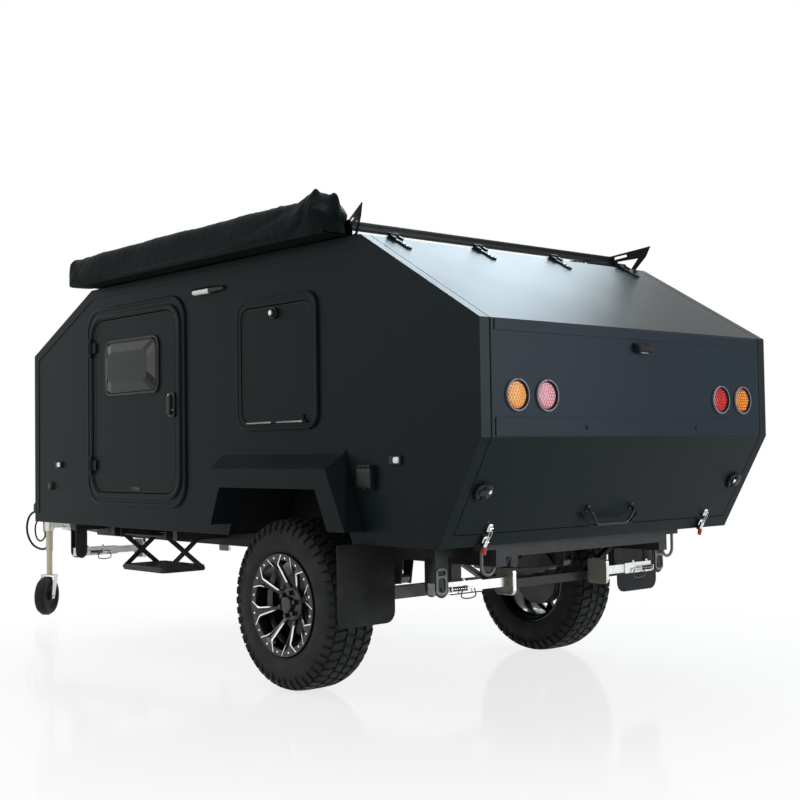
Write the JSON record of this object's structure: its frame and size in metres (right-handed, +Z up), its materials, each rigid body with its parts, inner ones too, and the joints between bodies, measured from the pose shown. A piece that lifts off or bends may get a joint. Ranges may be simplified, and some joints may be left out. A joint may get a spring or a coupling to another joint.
{
  "type": "off-road camper trailer",
  "caption": "Small off-road camper trailer with a faceted body, side doors, opening rear hatch, roof bars, side awning bag, folding legs, a step and a jockey wheel.",
  "frame": {"origin": "on the ground, under the middle of the overall length and width", "axes": "+X forward to the drawbar, +Y to the left, +Z up"},
  "size_m": [5.8182, 2.2, 2.235],
  "materials": {
    "body_paint": "satin charcoal paint",
    "rear_paint": "satin bluish grey paint",
    "black_coat": "black powder coat",
    "alloy": "black alloy with machined edges",
    "tyre_rubber": "black tyre rubber",
    "soft_rubber": "black rubber",
    "zinc": "bright zinc plate",
    "spring_steel": "dark spring steel",
    "pane": "dark tinted acrylic",
    "red_lens": "clear red plastic",
    "amber_lens": "clear amber plastic",
    "white_lens": "milky plastic",
    "black_plastic": "black plastic",
    "red_plastic": "red plastic",
    "canvas": "coated bag fabric"
  },
  "bodies": {
    "trailer": {"chassis_frame": "black_coat", "step_frame": "black_coat", "drawbar_coupling": "black_coat", "axle_beam": "black_coat", "leaf_spring_left": "spring_steel", "leaf_spring_right": "spring_steel", "cabin_floor": "black_coat", "side_wall_left": "body_paint", "side_wall_right": "body_paint", "front_wall": "body_paint", "front_slope": "body_paint", "roof_panel": "body_paint", "rear_sill": "rear_paint", "fender_left": "body_paint", "fender_right": "body_paint", "mudflap_left": "soft_rubber", "mudflap_right": "soft_rubber", "door_frame_left": "body_paint", "door_frame_right": "body_paint", "locker_frame_left": "body_paint", "locker_frame_right": "body_paint", "porch_lamp": "white_lens", "roof_bar_rear": "black_coat", "roof_bar_middle": "black_coat", "roof_bar_front": "black_coat", "awning_rail": "black_coat", "awning_bag": "canvas", "jockey_clamp": "zinc", "jockey_tube": "zinc", "main_lead": "soft_rubber", "second_lead": "soft_rubber", "main_plug": "black_plastic", "red_connector": "red_plastic"},
    "wheel_left": {"tyre_left": "tyre_rubber", "rim_left": "alloy"},
    "wheel_right": {"tyre_right": "tyre_rubber", "rim_right": "alloy"},
    "rear_hatch": {"rear_hatch": "rear_paint", "lamp_outer_left": "amber_lens", "lamp_inner_left": "red_lens", "lamp_inner_right": "red_lens", "lamp_outer_right": "amber_lens", "plate_lamp": "black_plastic"},
    "entry_door_left": {"entry_door_left": "body_paint", "door_window_left": "pane"},
    "entry_door_right": {"entry_door_right": "body_paint", "door_window_right": "pane"},
    "locker_door_left": {"locker_door_left": "body_paint"},
    "locker_door_right": {"locker_door_right": "body_paint"},
    "stabiliser_rear_left": {"stabiliser_rear_left": "zinc"},
    "stabiliser_front_left": {"stabiliser_front_left": "zinc"},
    "stabiliser_rear_right": {"stabiliser_rear_right": "zinc"},
    "stabiliser_front_right": {"stabiliser_front_right": "zinc"},
    "step_arms_outer": {"step_arms_outer": "black_coat"},
    "step_arms_inner": {"step_arms_inner": "black_coat"},
    "step_tread": {"step_tread": "black_coat"},
    "jockey_stem": {"jockey_stem": "zinc"},
    "jockey_fork": {"jockey_fork": "zinc"},
    "jockey_wheel": {"jockey_wheel": "soft_rubber"}
  },
  "joints": [
    {"name": "wheel_left_spin", "type": "hinge", "parent": "trailer", "child": "wheel_left", "pos_m": [-1.53085, 0.8325, 0.4], "axis": [0, 1, 0], "continuous": true},
    {"name": "wheel_right_spin", "type": "hinge", "parent": "trailer", "child": "wheel_right", "pos_m": [-1.53085, -0.8325, 0.4], "axis": [0, 1, 0], "continuous": true},
    {"name": "rear_hatch_hinge", "type": "hinge", "parent": "trailer", "child": "rear_hatch", "pos_m": [-2.16185, 0, 2.054], "axis": [0, 1, 0], "range_deg": [0, 75]},
    {"name": "entry_door_left_hinge", "type": "hinge", "parent": "trailer", "child": "entry_door_left", "pos_m": [0.21015, 1, 1.3785], "axis": [0, 0, -1], "range_deg": [0, 110]},
    {"name": "entry_door_right_hinge", "type": "hinge", "parent": "trailer", "child": "entry_door_right", "pos_m": [0.21015, -1, 1.3785], "axis": [0, 0, 1], "range_deg": [0, 110]},
    {"name": "locker_door_left_hinge", "type": "hinge", "parent": "trailer", "child": "locker_door_left", "pos_m": [-1.54185, 0.998, 1.2455], "axis": [-1, 0, 0], "range_deg": [0, 90]},
    {"name": "locker_door_right_hinge", "type": "hinge", "parent": "trailer", "child": "locker_door_right", "pos_m": [-1.54185, -0.998, 1.2455], "axis": [1, 0, 0], "range_deg": [0, 90]},
    {"name": "stabiliser_rear_left_pivot", "type": "hinge", "parent": "trailer", "child": "stabiliser_rear_left", "pos_m": [-2.35485, 0.745, 0.515], "axis": [1, 0, 0], "range_deg": [0, 90]},
    {"name": "stabiliser_rear_right_pivot", "type": "hinge", "parent": "trailer", "child": "stabiliser_rear_right", "pos_m": [-2.35485, -0.745, 0.515], "axis": [-1, 0, 0], "range_deg": [0, 90]},
    {"name": "stabiliser_front_left_pivot", "type": "hinge", "parent": "trailer", "child": "stabiliser_front_left", "pos_m": [0.84915, 0.745, 0.515], "axis": [1, 0, 0], "range_deg": [0, 90]},
    {"name": "stabiliser_front_right_pivot", "type": "hinge", "parent": "trailer", "child": "stabiliser_front_right", "pos_m": [0.84915, -0.745, 0.515], "axis": [-1, 0, 0], "range_deg": [0, 90]},
    {"name": "step_fold", "type": "hinge", "parent": "trailer", "child": "step_arms_outer", "pos_m": [-0.18085, 0.885, 0.665], "axis": [1, 0, 0], "range_deg": [-30, 15]},
    {"name": "step_scissor", "type": "hinge", "parent": "step_arms_outer", "child": "step_arms_inner", "pos_m": [-0.18085, 0.775, 0.575], "axis": [1, 0, 0], "range_deg": [-30, 60]},
    {"name": "step_tread_pin", "type": "hinge", "parent": "step_arms_inner", "child": "step_tread", "pos_m": [-0.18085, 0.885, 0.485], "axis": [1, 0, 0], "range_deg": [-30, 15]},
    {"name": "jockey_screw", "type": "slide", "parent": "trailer", "child": "jockey_stem", "axis": [0, 0, 1], "range_m": [-0.06, 0.15]},
    {"name": "jockey_swivel", "type": "hinge", "parent": "jockey_stem", "child": "jockey_fork", "pos_m": [2.00915, 0.368, 0.278], "axis": [0, 0, 1], "continuous": true},
    {"name": "jockey_wheel_spin", "type": "hinge", "parent": "jockey_fork", "child": "jockey_wheel", "pos_m": [1.9812, 0.40327, 0.133], "axis": [0.7837, 0.6211, 0], "continuous": true}
  ],
  "couplings": [
    {"joint": "step_scissor", "follows": "step_fold", "ratio": -2},
    {"joint": "step_tread_pin", "follows": "step_fold", "ratio": 1}
  ]
}
